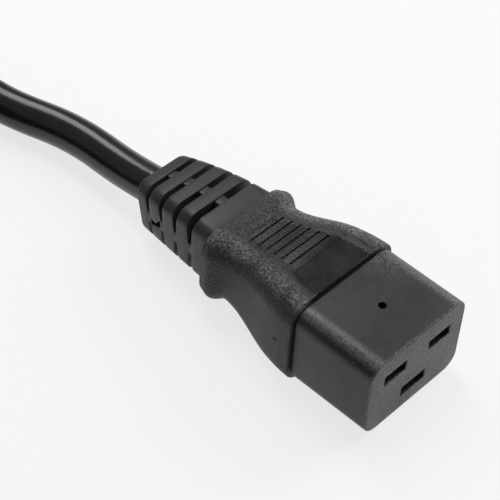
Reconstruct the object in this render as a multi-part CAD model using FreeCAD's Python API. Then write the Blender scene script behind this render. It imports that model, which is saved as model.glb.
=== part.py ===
import FreeCAD, Part
import math
import os

from FreeCAD import Placement, Rotation, Vector

# A high-current appliance connector on its lead, with the matching plug on the far end.
# Frame: the origin is the middle of the mating face. -Y points out of that face, +Y runs
# back along the connector to its cord, +X is to the right when the connector is looked at
# from its mating face with the earth slot down, and +Z is up. Millimetres.

# ---- contact layout, shared by both ends ----
pole_pitch = 13.0              # line to neutral, centre to centre
pole_height = 3.6              # line and neutral above the axis
earth_drop = 4.6               # earth below the axis
blade_width = 6.0
blade_thickness = 2.0
slot_end_gap = 0.17            # slot past the blade at each narrow end
slot_face_gap = 0.27           # slot past the blade at each flat face
earth_slot_growth = 0.7        # the earth slot is this much wider than the others

# ---- head block ----
head_width = 27.65
head_height = 19.6
head_depth = 19.7
head_corner = 3.5
head_edge_round = 0.3
face_wall = 2.2                # plastic in front of the contacts
neck_groove_depth = 0.45       # shadow line where the head meets the grip
neck_groove_width = 0.4
pin_hole_radius = 0.88         # mould pin hole in the top of the head
pin_hole_depth = 3.0
pin_hole_setback = 9.87
tail_inset = 2.6               # the hidden tail is smaller than the head all round
tail_length = 7.0
crimp_bay_height = 4.4
crimp_bay_start = 17.4

# ---- folded contacts and crimps ----
sheet = 0.45
contact_length = 14.0
contact_gap = 0.12             # contact to cavity wall
blade_play = 0.15              # blade to contact side wall
seam_gap = 0.6                 # open seam along the top of the folded contact
spring_slit_width = 0.5
spring_slit_length = 8.0
neck_plate_width = 2.2
neck_plate_length = 1.9
wire_crimp_length = 4.0
crimp_space = 0.6
jacket_crimp_length = 3.0

# ---- cores and cord ----
conductor_diameter = 1.6
core_diameter = 3.0
core_space = 0.2               # between neighbouring cores inside the sheath
strip_length = 4.3             # bare conductor ahead of the insulation
cord_diameter = 8.7
core_turn_in = 2.0             # straight core behind the head before it turns in
core_gather_length = 7.6       # stretch over which the cores come together
core_end_inside = 6.0          # cores modelled this far into the sheath
run_share = 0.45               # share of a run that one bend may take up

# ---- moulded grip ----
rim_step = 1.0                 # the grip's rim stands proud of the head by this
rim_corner = 4.7
neck_width = 21.9
neck_height = 15.8
neck_corner = 4.6
neck_back_width = 21.5         # head face to the narrowest place across
neck_back_height = 22.8        # head face to the lowest place of the top
flat_top_length = 7.3          # level stretch of the top behind the rim
flat_trim = 0.05               # moulded this much over height, then planed level top and bottom
collar_width = 24.9
collar_height = 18.1
collar_corner = 4.8
collar_rise_length = 3.5
collar_length = 5.8            # neck to the collar's back face
collar_back_drop_width = 0.7   # the collar draws in towards its back face
collar_back_drop_height = 1.2
premould_inset = 3.6           # premould below the head's outline at its front
premould_end_width = 14.6
premould_end_height = 11.4
premould_corner = 3.0
premould_end_gap = 5.0         # premould to the collar's back face
groove_count = 6
groove_first = 20.4            # last groove, counted from the head's back face
groove_pitch = 2.25
groove_length = 9.6
groove_length_step = 0.38
groove_width = 0.55
groove_depth = 0.4
stations_on_grip = 19

# ---- strain relief ----
relief_length = 22.6
relief_width = 19.6
relief_height = 15.6
relief_corner = 3.0
relief_end_width = 15.0
relief_end_height = 12.7
relief_bulge_width = 0.6       # fuller than a straight taper by this at mid-length
relief_bulge_height = 0.2
relief_end_chamfer = 0.7
relief_droop = 12.0            # degrees that it sags over its length
relief_slot_count = 4
relief_slot_first = 6.3        # collar to the back edge of the first slot row
relief_slot_pitch = 4.38
relief_slot_widths = (1.9, 1.6, 1.5, 1.5)
relief_web = 2.4               # web left between the slots, top, bottom and sides
relief_web_dip = 0.4           # top and bottom webs lie this far below the ribs
relief_skin = 0.55             # cover left over the cord in the slots
tear_height = 0.9              # ragged split in the last rib's left web
tear_depth = 1.5
stations_on_relief = 4

# ---- plug on the far end ----
cavity_play = 0.4              # head to shroud, each side
cavity_extra_depth = 0.5
shroud_wall = 2.2
shroud_corner = 5.6
shroud_edge_round = 0.4
base_thickness = 5.5
pin_setback = 3.6              # pin tips behind the shroud's rim
pin_tip_round = 0.9

# ---- cord route, chosen by hand: the uncoiled stretches ----
lead_out = 10.0                # straight out of the connector's strain relief
lead_bend = Vector(0.85, 98.2, -6.45)
lead_in = 9.0                  # straight into the coil
tail_out = 9.4                 # straight out of the coil
tail_side_step = 1.2
tail_run = 9.3
tail_in = 9.4                  # straight into the plug's strain relief

# ---- coil that the rest of the cord is put away in ----
coil_x = -62.6
coil_y = 147.3
coil_mean_radius = 43.5
coil_pitch = 8.9               # turn to turn, sideways
layer_rise = 8.8               # turn to turn, upwards
coil_entry_angle = 8.0         # degrees, counter-clockwise from +X
coil_exit_angle = 195.0
coil_full_turns = 4
coil_stub = 31.5               # straight cord at the coil's entry and exit
tie_thickness = 0.8
tie_width = 12.0
tie_angle = 105.0

# ---- sizes that follow from the ones above ----
slot_length = blade_width + 2 * slot_end_gap
slot_height = blade_thickness + 2 * slot_face_gap
contact_width = blade_width + 2 * (blade_play + sheet)
contact_height = blade_thickness + 2 * sheet
cavity_width = contact_width + 2 * contact_gap
cavity_height = contact_height + 2 * contact_gap
contact_start = face_wall + contact_gap
crimp_start = contact_start + contact_length + neck_plate_length
jacket_crimp_start = crimp_start + wire_crimp_length + crimp_space
core_start = crimp_start + strip_length
tail_end = head_depth + tail_length
gather_start = tail_end + core_turn_in
sheath_start = gather_start + core_gather_length
core_end = sheath_start + core_end_inside
core_lay_radius = (core_diameter + core_space) / math.sqrt(3)
rim_width = head_width + 2 * rim_step
rim_height = head_height + 2 * rim_step
floor_height = -rim_height / 2
neck_y = head_depth + neck_back_width
collar_back = neck_y + collar_length
premould_end = collar_back - premould_end_gap
cord_radius = cord_diameter / 2
shroud_cavity_width = head_width + 2 * cavity_play
shroud_cavity_height = head_height + 2 * cavity_play
shroud_cavity_depth = head_depth + cavity_extra_depth
shroud_width = shroud_cavity_width + 2 * shroud_wall
shroud_height = shroud_cavity_height + 2 * shroud_wall
plug_shift = shroud_cavity_depth + base_thickness - head_depth
plug_rim_height = shroud_height + 2 * rim_step
plug_axis_height = floor_height + plug_rim_height / 2
plug_length = plug_shift + collar_back + relief_length

poles = {
    "line": (-pole_pitch / 2, pole_height),
    "neutral": (pole_pitch / 2, pole_height),
    "earth": (0.0, -earth_drop),
}
lay_angles = {"line": 150.0, "neutral": 30.0, "earth": 270.0}


# ---- basic shapes ----

def across(y, x=0.0, z=0.0):
    """Frame whose section plane stands across the Y axis."""
    return Placement(Vector(x, y, z), Rotation())


def rounded_outline(frame, width, height, corner):
    """Rounded rectangle in the frame's XZ plane, as a closed wire of four sides and four arcs."""
    half_x, half_z = width / 2 - corner, height / 2 - corner
    corners = [(half_x, half_z, 0.0), (-half_x, half_z, 90.0),
               (-half_x, -half_z, 180.0), (half_x, -half_z, 270.0)]
    arcs = []
    for centre_x, centre_z, start in corners:
        points = []
        for turn in (start, start + 45.0, start + 90.0):
            reach = math.radians(turn)
            point = Vector(centre_x + corner * math.cos(reach), 0, centre_z + corner * math.sin(reach))
            points.append(frame.multVec(point))
        arcs.append(points)
    edges = []
    for index, points in enumerate(arcs):
        edges.append(Part.Arc(*points).toShape())
        edges.append(Part.makeLine(points[2], arcs[(index + 1) % 4][0]))
    return Part.Wire(edges)


def block(width, height, corner, start, end, x=0.0, z=0.0):
    """Rounded bar along Y."""
    outline = rounded_outline(across(start, x, z), width, height, corner)
    return Part.Face(outline).extrude(Vector(0, end - start, 0))


def box(width, depth, height, centre_x, start_y, centre_z):
    """Plain box along Y, centred in X and Z."""
    corner = Vector(centre_x - width / 2, start_y, centre_z - height / 2)
    return Part.makeBox(width, depth, height, corner)


def rod(radius, start, end, x=0.0, z=0.0):
    """Round bar along Y."""
    return Part.makeCylinder(radius, end - start, Vector(x, start, z), Vector(0, 1, 0))


def single(shape):
    """The one solid of a cleaned-up shape."""
    cleaned = shape.removeSplitter()
    return cleaned.Solids[0] if len(cleaned.Solids) == 1 else cleaned


def blend(share):
    """Smooth step from 0 to 1."""
    share = min(max(share, 0.0), 1.0)
    return (1 - math.cos(math.pi * share)) / 2


# ---- paths for wires and cords ----

def tangent_path(points):
    """Straight runs joined by tangent arcs, each as large as its two runs allow."""
    edges, radii, start = [], [], points[0]
    for before, corner, after in zip(points, points[1:], points[2:]):
        into, out = corner - before, after - corner
        half_turn = into.getAngle(out) / 2
        reach = run_share * min(into.Length, out.Length)
        into.normalize()
        out.normalize()
        first, last = corner - into * reach, corner + out * reach
        radius = reach / math.tan(half_turn)
        inward = (out - into).normalize()
        middle = corner + inward * (radius / math.cos(half_turn) - radius)
        edges.append(Part.LineSegment(start, first).toShape())
        edges.append(Part.Arc(first, middle, last).toShape())
        radii.append(round(radius, 1))
        start = last
    edges.append(Part.LineSegment(start, points[-1]).toShape())
    return Part.Wire(edges), radii


def swept(path, radius):
    """Round bar along a path."""
    first = path.Edges[0]
    start = first.valueAt(first.FirstParameter)
    heading = first.tangentAt(first.FirstParameter)
    profile = Part.Wire(Part.makeCircle(radius, start, heading))
    return path.makePipeShell([profile], True, False)


def report_cord(name, shape, path, radii):
    """Print a cord's bend radii and how its volume compares with section times length."""
    ideal = math.pi * cord_radius ** 2 * path.Length
    ratio = round(shape.Volume / ideal, 4)
    print(name, "length", round(path.Length, 1), "radii", radii, "volume ratio", ratio)


# ---- head block ----

def crimp_bays(shift=0.0):
    """Wider room behind each contact for its crimps, open at the tail's end."""
    bays = []
    start, end = crimp_bay_start + shift, tail_end + shift
    for x, z in poles.values():
        bays.append(box(cavity_width, end - start, crimp_bay_height, x, start, z))
    return bays


def tail_block():
    """Outline of the head's tail, which the grip is moulded on."""
    width, height = head_width - 2 * tail_inset, head_height - 2 * tail_inset
    return block(width, height, head_corner, head_depth, tail_end)


def front_housing():
    """Head block with its slots, contact cavities and the tail that the grip is moulded on."""
    head = block(head_width, head_height, head_corner, 0, head_depth)
    front = [edge for edge in head.Edges if edge.BoundBox.YMax < 1e-6]
    head = head.makeFillet(head_edge_round, front)
    groove_start = head_depth - neck_groove_width
    channel = block(head_width + 1, head_height + 1, head_corner, groove_start, head_depth)
    floor = block(head_width - 2 * neck_groove_depth, head_height - 2 * neck_groove_depth,
                  head_corner - neck_groove_depth, groove_start, head_depth)
    head = head.cut(channel.cut(floor))
    tail = tail_block()
    body = head.fuse(tail)
    for name, (x, z) in poles.items():
        growth = earth_slot_growth if name == "earth" else 0.0
        body = body.cut(box(slot_length + growth, face_wall, slot_height, x, 0, z))
        body = body.cut(box(cavity_width, crimp_bay_start - face_wall, cavity_height, x, face_wall, z))
    for bay in crimp_bays():
        body = body.cut(bay)
    hole_floor = head_height / 2 - pin_hole_depth
    hole = Part.makeCylinder(pin_hole_radius, pin_hole_depth, Vector(0, pin_hole_setback, hole_floor))
    return single(body.cut(hole))


# ---- contacts, pins and their crimps ----

def crimp_tail(x, z, neck_start, shift=0.0):
    """Neck plate, wire crimp and insulation crimp, from the end of a contact or pin."""
    start = crimp_start + shift
    wire_outer = conductor_diameter / 2 + sheet
    jacket_outer = core_diameter / 2 + sheet
    wire_crimp = rod(wire_outer, start, start + wire_crimp_length, x, z)
    jacket_start = jacket_crimp_start + shift
    jacket_end = jacket_start + jacket_crimp_length
    jacket_crimp = rod(jacket_outer, jacket_start, jacket_end, x, z)
    jacket_crimp = jacket_crimp.cut(rod(core_diameter / 2, jacket_start, jacket_end, x, z))
    neck_z = z - contact_height / 2 + sheet / 2
    neck = box(neck_plate_width, start + sheet - neck_start, sheet, x, neck_start, neck_z)
    link_height = jacket_outer - conductor_diameter / 2 - sheet / 2
    link = box(neck_plate_width / 2, crimp_space + 2 * sheet, link_height,
               x, start + wire_crimp_length - sheet, z - jacket_outer + link_height / 2)
    tail = wire_crimp.fuse([jacket_crimp, neck, link])
    bore = rod(conductor_diameter / 2, start, start + wire_crimp_length, x, z)
    core_room = rod(core_diameter / 2, core_start + shift, jacket_end, x, z)
    return tail.cut(bore).cut(core_room)


def contact(x, z):
    """Folded sheet receptacle with an open seam and spring slits, on its crimps."""
    start, end = contact_start, contact_start + contact_length
    inner_width, inner_height = contact_width - 2 * sheet, contact_height - 2 * sheet
    shell = box(contact_width, end - start, contact_height, x, start, z)
    shell = shell.cut(box(inner_width, end - start, inner_height, x, start, z))
    top = z + contact_height / 2 - sheet / 2
    shell = shell.cut(box(seam_gap, end - start, 2 * sheet, x, start, top))
    slit_start = start + (contact_length - spring_slit_length) / 2
    for side in (-1, 1):
        slit_x = x + side * contact_width / 4
        slit = box(spring_slit_width, spring_slit_length, 2 * contact_height, slit_x, slit_start, z)
        shell = shell.cut(slit)
    return single(shell.fuse(crimp_tail(x, z, end - sheet)))


def pin(x, z):
    """Flat blade with a rounded tip, on the same crimps."""
    start, root = pin_setback, crimp_bay_start + plug_shift
    blade = box(blade_width, root + sheet - start, blade_thickness, x, start, z)
    tip = [edge for edge in blade.Edges
           if edge.BoundBox.YMax < start + 1e-6 and edge.BoundBox.XLength > sheet]
    blade = blade.makeChamfer(pin_tip_round, tip)
    neck_step = box(neck_plate_width, sheet, contact_height / 2, x, root, z - contact_height / 4)
    return single(blade.fuse([neck_step, crimp_tail(x, z, root, plug_shift)]))


# ---- cores ----

def core_path(name, start):
    """Line of one core: straight out of its crimp, in towards the axis, then along the sheath."""
    x, z = poles[name]
    turn = math.radians(lay_angles[name])
    lay_x, lay_z = core_lay_radius * math.cos(turn), core_lay_radius * math.sin(turn)
    points = [Vector(x, start, z), Vector(x, gather_start, z),
              Vector(lay_x, sheath_start, lay_z), Vector(lay_x, core_end, lay_z)]
    return tangent_path(points)[0]


def cores():
    """Insulation tube and stranded conductor of each pole, built around the connector's end."""
    result = {}
    for name in poles:
        line = core_path(name, core_start)
        x, z = poles[name]
        inside = swept(line, conductor_diameter / 2)
        bare = rod(conductor_diameter / 2, crimp_start, core_start, x, z)
        covered = swept(line, core_diameter / 2)
        result[name] = (covered.cut(inside), single(bare.fuse(inside)), covered)
    return result


# ---- premould, grip and strain relief ----

def premould_body():
    """Block moulded round the cores: fills the grip from the housing's tail to the collar."""
    front = rounded_outline(across(tail_end), head_width - 2 * premould_inset,
                            head_height - 2 * premould_inset, premould_corner)
    back = rounded_outline(across(premould_end), premould_end_width, premould_end_height, premould_corner)
    return Part.makeLoft([front, back], True, True)


def relief_anchor():
    """Plain root of the strain relief, held inside the collar."""
    return block(premould_end_width, premould_end_height, premould_corner, premould_end, collar_back)


def collar_fall(y):
    """How far the collar has drawn in towards its back, from 0 to 1."""
    return blend((y - neck_y - collar_rise_length) / (collar_length - collar_rise_length))


def grip_width(y, front_width):
    """Outer width of the grip, from the rim through the neck to the collar."""
    narrowing = front_width + (neck_width - front_width) * blend((y - head_depth) / neck_back_width)
    widening = (collar_width - neck_width) * blend((y - neck_y) / collar_rise_length)
    drawing_in = collar_back_drop_width * collar_fall(y)
    return narrowing + widening - drawing_in


def grip_height(y, front_height):
    """Outer height of the grip, level behind the rim and then falling to the neck."""
    fall_length = neck_back_height - flat_top_length
    fall = blend((y - head_depth - flat_top_length) / fall_length)
    falling = front_height + (neck_height - front_height) * fall
    rising = (collar_height - neck_height) * blend((y - neck_y) / collar_rise_length)
    drawing_in = collar_back_drop_height * collar_fall(y)
    return falling + rising - drawing_in


def grip_corner(y):
    """Corner radius of the grip's section."""
    back_share = blend((y - neck_y) / collar_rise_length)
    forward = rim_corner + (neck_corner - rim_corner) * blend((y - head_depth) / neck_back_width)
    return forward + (collar_corner - neck_corner) * back_share


def grip(front_width, front_height):
    """Soft outer moulding from the rim to the collar, with finger grooves top and bottom."""
    outlines = []
    for index in range(stations_on_grip):
        y = head_depth + (collar_back - head_depth) * index / (stations_on_grip - 1)
        height = grip_height(y, front_height + 2 * flat_trim)
        outlines.append(rounded_outline(across(y), grip_width(y, front_width), height, grip_corner(y)))
    body = Part.makeLoft(outlines, True, False)
    length = collar_back - head_depth
    body = body.common(box(front_width, length, front_height, 0, head_depth, 0))
    tail = tail_block()
    body = body.cut(tail).cut(premould_body()).cut(relief_anchor())
    for index in range(groove_count):
        y = head_depth + groove_first - index * groove_pitch
        length = groove_length + index * groove_length_step
        for side in (-1, 1):
            body = body.cut(finger_groove(y, length, side * grip_height(y, front_height) / 2))
    return single(body)


def finger_groove(y, length, surface):
    """Shallow round-ended groove across the top or the bottom of the grip."""
    side = math.copysign(1.0, surface)
    low = min(surface - side * groove_depth, surface + side)
    straight = length - groove_width
    corner = Vector(-straight / 2, y - groove_width / 2, low)
    cutter = Part.makeBox(straight, groove_width, groove_depth + 1, corner)
    for end in (-1, 1):
        round_end = Part.makeCylinder(groove_width / 2, groove_depth + 1, Vector(end * straight / 2, y, low))
        cutter = cutter.fuse(round_end)
    return cutter


def relief_frame(distance, droop):
    """Frame on the strain relief's axis, a distance behind the collar, sagging along an arc."""
    if droop == 0:
        return across(collar_back + distance)
    bend_radius = relief_length / math.radians(droop)
    turn = distance / bend_radius
    place = Vector(0, collar_back + bend_radius * math.sin(turn), -bend_radius * (1 - math.cos(turn)))
    return Placement(place, Rotation(Vector(1, 0, 0), -math.degrees(turn)))


def relief_path(start, droop):
    """Axis of the cord from a place inside the grip to the strain relief's end."""
    straight = Part.LineSegment(Vector(0, start, 0), Vector(0, collar_back, 0)).toShape()
    end = relief_frame(relief_length, droop).Base
    if droop == 0:
        return Part.Wire([straight, Part.LineSegment(Vector(0, collar_back, 0), end).toShape()])
    middle = relief_frame(relief_length / 2, droop).Base
    return Part.Wire([straight, Part.Arc(Vector(0, collar_back, 0), middle, end).toShape()])


def relief_section(distance, trim=0.0):
    """Width, height and corner of the strain relief, a distance behind the collar."""
    share = distance / relief_length
    bulge = 4 * share * (1 - share)
    width = relief_width + (relief_end_width - relief_width) * share + relief_bulge_width * bulge
    height = relief_height + (relief_end_height - relief_height) * share + relief_bulge_height * bulge
    return width - 2 * trim, height - 2 * trim, relief_corner - trim


def relief_slots(droop):
    """Cutters for the slot rows: round the cord's cover, less the four webs."""
    cutters = []
    for row in range(relief_slot_count):
        back = relief_slot_first + row * relief_slot_pitch
        width = relief_slot_widths[row]
        reach = 2 * relief_width
        cutter = box(reach, width, reach, 0, -width / 2, 0)
        cutter = cutter.cut(rod(cord_radius + relief_skin, -width / 2, width / 2))
        cutter = cutter.cut(box(relief_web, width, reach, 0, -width / 2, 0))
        cutter = cutter.cut(box(reach, width, relief_web, 0, -width / 2, 0))
        middle = back - width / 2
        top = relief_section(middle)[1] / 2 - relief_web_dip
        for side in (-1, 1):
            dip = box(relief_web, width, reach, 0, -width / 2, side * (top + reach / 2))
            cutter = cutter.fuse(dip)
        cutter.Placement = relief_frame(middle, droop)
        cutters.append(cutter)
    return cutters


def relief_tear(droop):
    """Ragged split across the last rib's left web, between two slot rows."""
    back = relief_slot_first + (relief_slot_count - 1) * relief_slot_pitch - relief_slot_widths[-1]
    front = back - relief_slot_pitch + relief_slot_widths[-1]
    side = -relief_section(back)[0] / 2
    low, high = -relief_web / 2 - tear_height / 2, -relief_web / 2 + tear_height
    outline = [(back + 0.2, low), (back + 0.2, high * 0.4), ((back + front) / 2, low * 0.3),
               (front - 0.2, relief_web / 2), (front - 0.2, low * 0.5), ((back + front) / 2, low * 0.8)]
    frame = relief_frame((back + front) / 2, droop)
    along = (back + front) / 2
    points = [frame.multVec(Vector(side - tear_depth, y - along, z)) for y, z in outline]
    face = Part.Face(Part.makePolygon(points + points[:1]))
    return face.extrude(Vector(2 * tear_depth, 0, 0))


def strain_relief(droop, torn):
    """Slotted, tapered sleeve behind the collar, with its root held in the grip."""
    chamfer_start = relief_length - relief_end_chamfer
    outlines = []
    for index in range(stations_on_relief):
        distance = chamfer_start * index / (stations_on_relief - 1)
        outlines.append(rounded_outline(relief_frame(distance, droop), *relief_section(distance)))
    body = Part.makeLoft(outlines, True, False)
    rear_size = relief_section(relief_length, relief_end_chamfer)
    rear = rounded_outline(relief_frame(relief_length, droop), *rear_size)
    chamfer = Part.makeLoft([outlines[-1], rear], True, True)
    body = body.fuse([chamfer, relief_anchor()])
    for cutter in relief_slots(droop):
        body = body.cut(cutter)
    if torn:
        body = body.cut(relief_tear(droop))
    return single(body.cut(swept(relief_path(premould_end, droop), cord_radius)))


def sheath(droop, core_solids):
    """Cord sheath held in the moulding, from its cut end to the strain relief's end."""
    body = swept(relief_path(sheath_start, droop), cord_radius)
    for solid in core_solids:
        body = body.cut(solid)
    return single(body)


def wired_end(prefix, droop):
    """Cores, conductors, premould and held sheath, the same at both ends."""
    parts = {}
    wires = cores()
    solids = []
    for name, (insulation, conductor, covered) in wires.items():
        parts[prefix + "core_" + name] = insulation
        parts[prefix + "conductor_" + name] = conductor
        solids.append(covered)
    held = swept(relief_path(sheath_start, droop), cord_radius)
    premould = premould_body().cut(held)
    for solid in solids:
        premould = premould.cut(solid)
    parts[prefix + "premould"] = single(premould)
    parts[prefix + "sheath"] = sheath(droop, solids)
    return parts


# ---- plug ----

def plug_shroud():
    """Shroud round the pins, its base, and the tail that the plug's grip is moulded on."""
    front = block(shroud_width, shroud_height, shroud_corner, 0, head_depth + plug_shift)
    rim = [edge for edge in front.Edges if edge.BoundBox.YMax < 1e-6]
    front = front.makeFillet(shroud_edge_round, rim)
    front = front.cut(block(shroud_cavity_width, shroud_cavity_height, head_corner + cavity_play,
                            0, shroud_cavity_depth))
    start, end = head_depth + plug_shift, tail_end + plug_shift
    tail = block(head_width - 2 * tail_inset, head_height - 2 * tail_inset, head_corner, start, end)
    body = front.fuse(tail)
    for bay in crimp_bays(plug_shift):
        body = body.cut(bay)
    for x, z in poles.values():
        body = body.cut(box(blade_width, end, blade_thickness, x, shroud_cavity_depth, z))
    return single(body)


def plug_parts():
    """Every piece of the plug, around its own axis, with its rim at y = 0."""
    parts = {"plug_shroud": plug_shroud()}
    for name, (x, z) in poles.items():
        parts["plug_pin_" + name] = pin(x, z)
    behind = wired_end("plug_", 0)
    behind["plug_grip"] = grip(shroud_width + 2 * rim_step, plug_rim_height)
    behind["plug_strain_relief"] = strain_relief(0, False)
    for name, shape in behind.items():
        parts[name] = shape.translated(Vector(0, plug_shift, 0))
    return parts


# ---- cord outside the connector ----

def coil_layout():
    """Where the cord meets the coil, and the coil's inner and outer radius."""
    turns = coil_full_turns + (coil_exit_angle - coil_entry_angle) / 360.0
    spread = coil_pitch * turns / 2
    outer = coil_mean_radius + spread / 2
    low = floor_height + tie_thickness + cord_radius
    ends = []
    for angle, height, backwards in ((coil_entry_angle, low, -1), (coil_exit_angle, low + layer_rise, 1)):
        reach = math.radians(angle)
        touch = Vector(coil_x + outer * math.cos(reach), coil_y + outer * math.sin(reach), height)
        heading = Vector(-math.sin(reach), math.cos(reach), 0)
        ends.append((touch, touch + heading * (backwards * coil_stub)))
    return ends, coil_mean_radius - spread / 2, outer


def ring_section(grow):
    """Section of the bundle of turns, in the XZ plane of its axis."""
    _, inner, outer = coil_layout()
    low = floor_height + tie_thickness
    width = outer - inner + cord_diameter + 2 * grow
    height = layer_rise + cord_diameter + 2 * grow
    middle = Placement(Vector((inner + outer) / 2, 0, low + (layer_rise + cord_diameter) / 2), Rotation())
    return rounded_outline(middle, width, height, cord_radius + grow)


def cord_coil():
    """Outer shape of the whole coil, with a straight stub at each end."""
    section = Part.Face(ring_section(0.0))
    ring = section.revolve(Vector(0, 0, 0), Vector(0, 0, 1), 360)
    ring.translate(Vector(coil_x, coil_y, 0))
    for touch, end in coil_layout()[0]:
        ring = ring.fuse(Part.makeCylinder(cord_radius, coil_stub, touch, end - touch))
    return single(ring)


def cord_tie():
    """Strap round the turns of the coil."""
    loop = Part.Face(ring_section(tie_thickness)).cut(Part.Face(ring_section(0.0)))
    arc = math.degrees(tie_width / coil_mean_radius)
    band = loop.revolve(Vector(0, 0, 0), Vector(0, 0, 1), arc)
    band.rotate(Vector(0, 0, 0), Vector(0, 0, 1), tie_angle)
    band.translate(Vector(coil_x, coil_y, 0))
    return single(band)


def cord_parts():
    """Lead from the connector to the coil, the coil with its tie, and the tail to the plug."""
    (entry, exit_), _, _ = coil_layout()
    frame = relief_frame(relief_length, relief_droop)
    outwards = frame.Rotation.multVec(Vector(0, 1, 0))
    coilwards = (entry[0] - entry[1]).normalize()
    plugwards = (exit_[1] - exit_[0]).normalize()
    lead = [frame.Base, frame.Base + outwards * lead_out, lead_bend, entry[1] - coilwards * lead_in, entry[1]]
    tail = [exit_[1], exit_[1] + plugwards * tail_out]
    tail.append(Vector(tail[1].x + tail_side_step, tail[1].y - tail_run, plug_axis_height))
    tail.append(tail[2] - Vector(0, tail_in, 0))
    parts = {"cord_coil": cord_coil(), "cord_tie": cord_tie()}
    for name, points in (("cord_lead", lead), ("cord_tail", tail)):
        path, radii = tangent_path(points)
        parts[name] = swept(path, cord_radius)
        report_cord(name, parts[name], path, radii)
        print(name, [tuple(round(value, 3) for value in point) for point in points])
    return parts, tail[-1]


# ---- the whole model ----

def build():
    """All nodes by name, in place."""
    nodes = {"front_housing": front_housing()}
    for name, (x, z) in poles.items():
        nodes["contact_" + name] = contact(x, z)
    nodes.update(wired_end("", relief_droop))
    nodes["rear_grip"] = grip(rim_width, rim_height)
    nodes["strain_relief"] = strain_relief(relief_droop, True)
    cord, plug_end = cord_parts()
    nodes.update(cord)
    plug_place = plug_end - Vector(0, plug_length, 0)
    for name, shape in plug_parts().items():
        nodes[name] = shape.translated(plug_place)
    return nodes


os.makedirs("parts", exist_ok=True)
for node_name, node_shape in build().items():
    print(node_name, "solids", len(node_shape.Solids), "valid", node_shape.isValid())
    node_shape.exportStep("parts/" + node_name + ".step")
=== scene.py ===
import math

import bmesh
import bpy
from mathutils import Matrix, Vector


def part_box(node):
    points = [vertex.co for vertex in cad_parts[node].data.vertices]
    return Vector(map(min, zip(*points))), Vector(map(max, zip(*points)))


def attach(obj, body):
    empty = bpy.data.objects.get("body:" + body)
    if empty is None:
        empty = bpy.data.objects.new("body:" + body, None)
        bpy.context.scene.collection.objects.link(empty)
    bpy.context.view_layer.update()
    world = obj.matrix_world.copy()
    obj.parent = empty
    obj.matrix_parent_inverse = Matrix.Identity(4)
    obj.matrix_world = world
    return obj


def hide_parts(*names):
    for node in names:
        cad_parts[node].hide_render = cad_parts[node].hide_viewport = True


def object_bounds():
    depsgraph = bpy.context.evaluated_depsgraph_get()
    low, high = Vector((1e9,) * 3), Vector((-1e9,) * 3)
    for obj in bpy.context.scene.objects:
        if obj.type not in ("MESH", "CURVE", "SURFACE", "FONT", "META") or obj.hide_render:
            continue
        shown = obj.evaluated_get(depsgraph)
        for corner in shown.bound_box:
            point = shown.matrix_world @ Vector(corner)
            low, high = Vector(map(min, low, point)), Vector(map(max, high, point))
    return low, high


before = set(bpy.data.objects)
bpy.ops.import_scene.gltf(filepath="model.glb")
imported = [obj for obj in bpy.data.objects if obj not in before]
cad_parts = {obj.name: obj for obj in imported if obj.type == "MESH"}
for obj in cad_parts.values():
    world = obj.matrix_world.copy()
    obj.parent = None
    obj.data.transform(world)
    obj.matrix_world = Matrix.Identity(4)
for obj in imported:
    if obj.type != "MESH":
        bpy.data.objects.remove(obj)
cad_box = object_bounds()

bl_info = {
    "name": "Appliance Connector Dresser",
    "version": (1, 0, 0),
    "blender": (4, 5, 0),
    "location": "View3D > Sidebar > Connector",
    "description": "Dresses a moulded appliance connector, its coiled cord and its plug",
    "category": "Object",
}

MM = 0.001
CORNER_STEPS = 10              # facets round each corner of a rounded outline
ROUND_STEPS = 4                # facets round a small edge
MERGE = 0.002 * MM
DRAFT = 0.02 * MM              # slope of a flat step, so that its two rings never share a plane
CRISP = math.radians(32.0)     # edges sharper than this stay crisp
SOFTENED = math.radians(40.0)  # soft edges are made of edges sharper than this
HOLE_STEPS = 28                # facets round the pin hole
ARC_STEPS = 12                 # facets round a quarter of a slot row
CLEAR = 2 * MM                 # cutters reach this far outside what they cut
FULL_ROUND = 0.4999            # corner as a share of the width, for an outline with round ends
STRAP_SHARE = 0.96             # of its set thickness, so that the strap stays inside its solid
UPRIGHT = Matrix.Rotation(math.radians(90.0), 4, "X")   # stands a flat outline across the axis
LYING = Matrix.Rotation(math.radians(-90.0), 4, "X")    # lays a standing outline flat
POLES = ("line", "neutral", "earth")

head_low, head_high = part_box("front_housing")
grip_low, grip_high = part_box("rear_grip")
shroud_low, shroud_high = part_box("plug_shroud")
plug_grip_low, plug_grip_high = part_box("plug_grip")


# ---- settings ----

def length(name, description, default):
    """A length, in metres."""
    return bpy.props.FloatProperty(
        name=name, description=description, default=default, min=0.0, unit="LENGTH", precision=5)


def turn(name, description, degrees):
    """An angle, given in degrees."""
    return bpy.props.FloatProperty(
        name=name, description=description, default=math.radians(degrees), subtype="ANGLE")


def tint(name, description, default):
    """A surface colour."""
    return bpy.props.FloatVectorProperty(
        name=name, description=description, default=default, size=3, min=0.0, max=1.0,
        subtype="COLOR")


def share(name, description, default):
    """A number from 0 to 1."""
    return bpy.props.FloatProperty(
        name=name, description=description, default=default, min=0.0, max=1.0, subtype="FACTOR")


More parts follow.
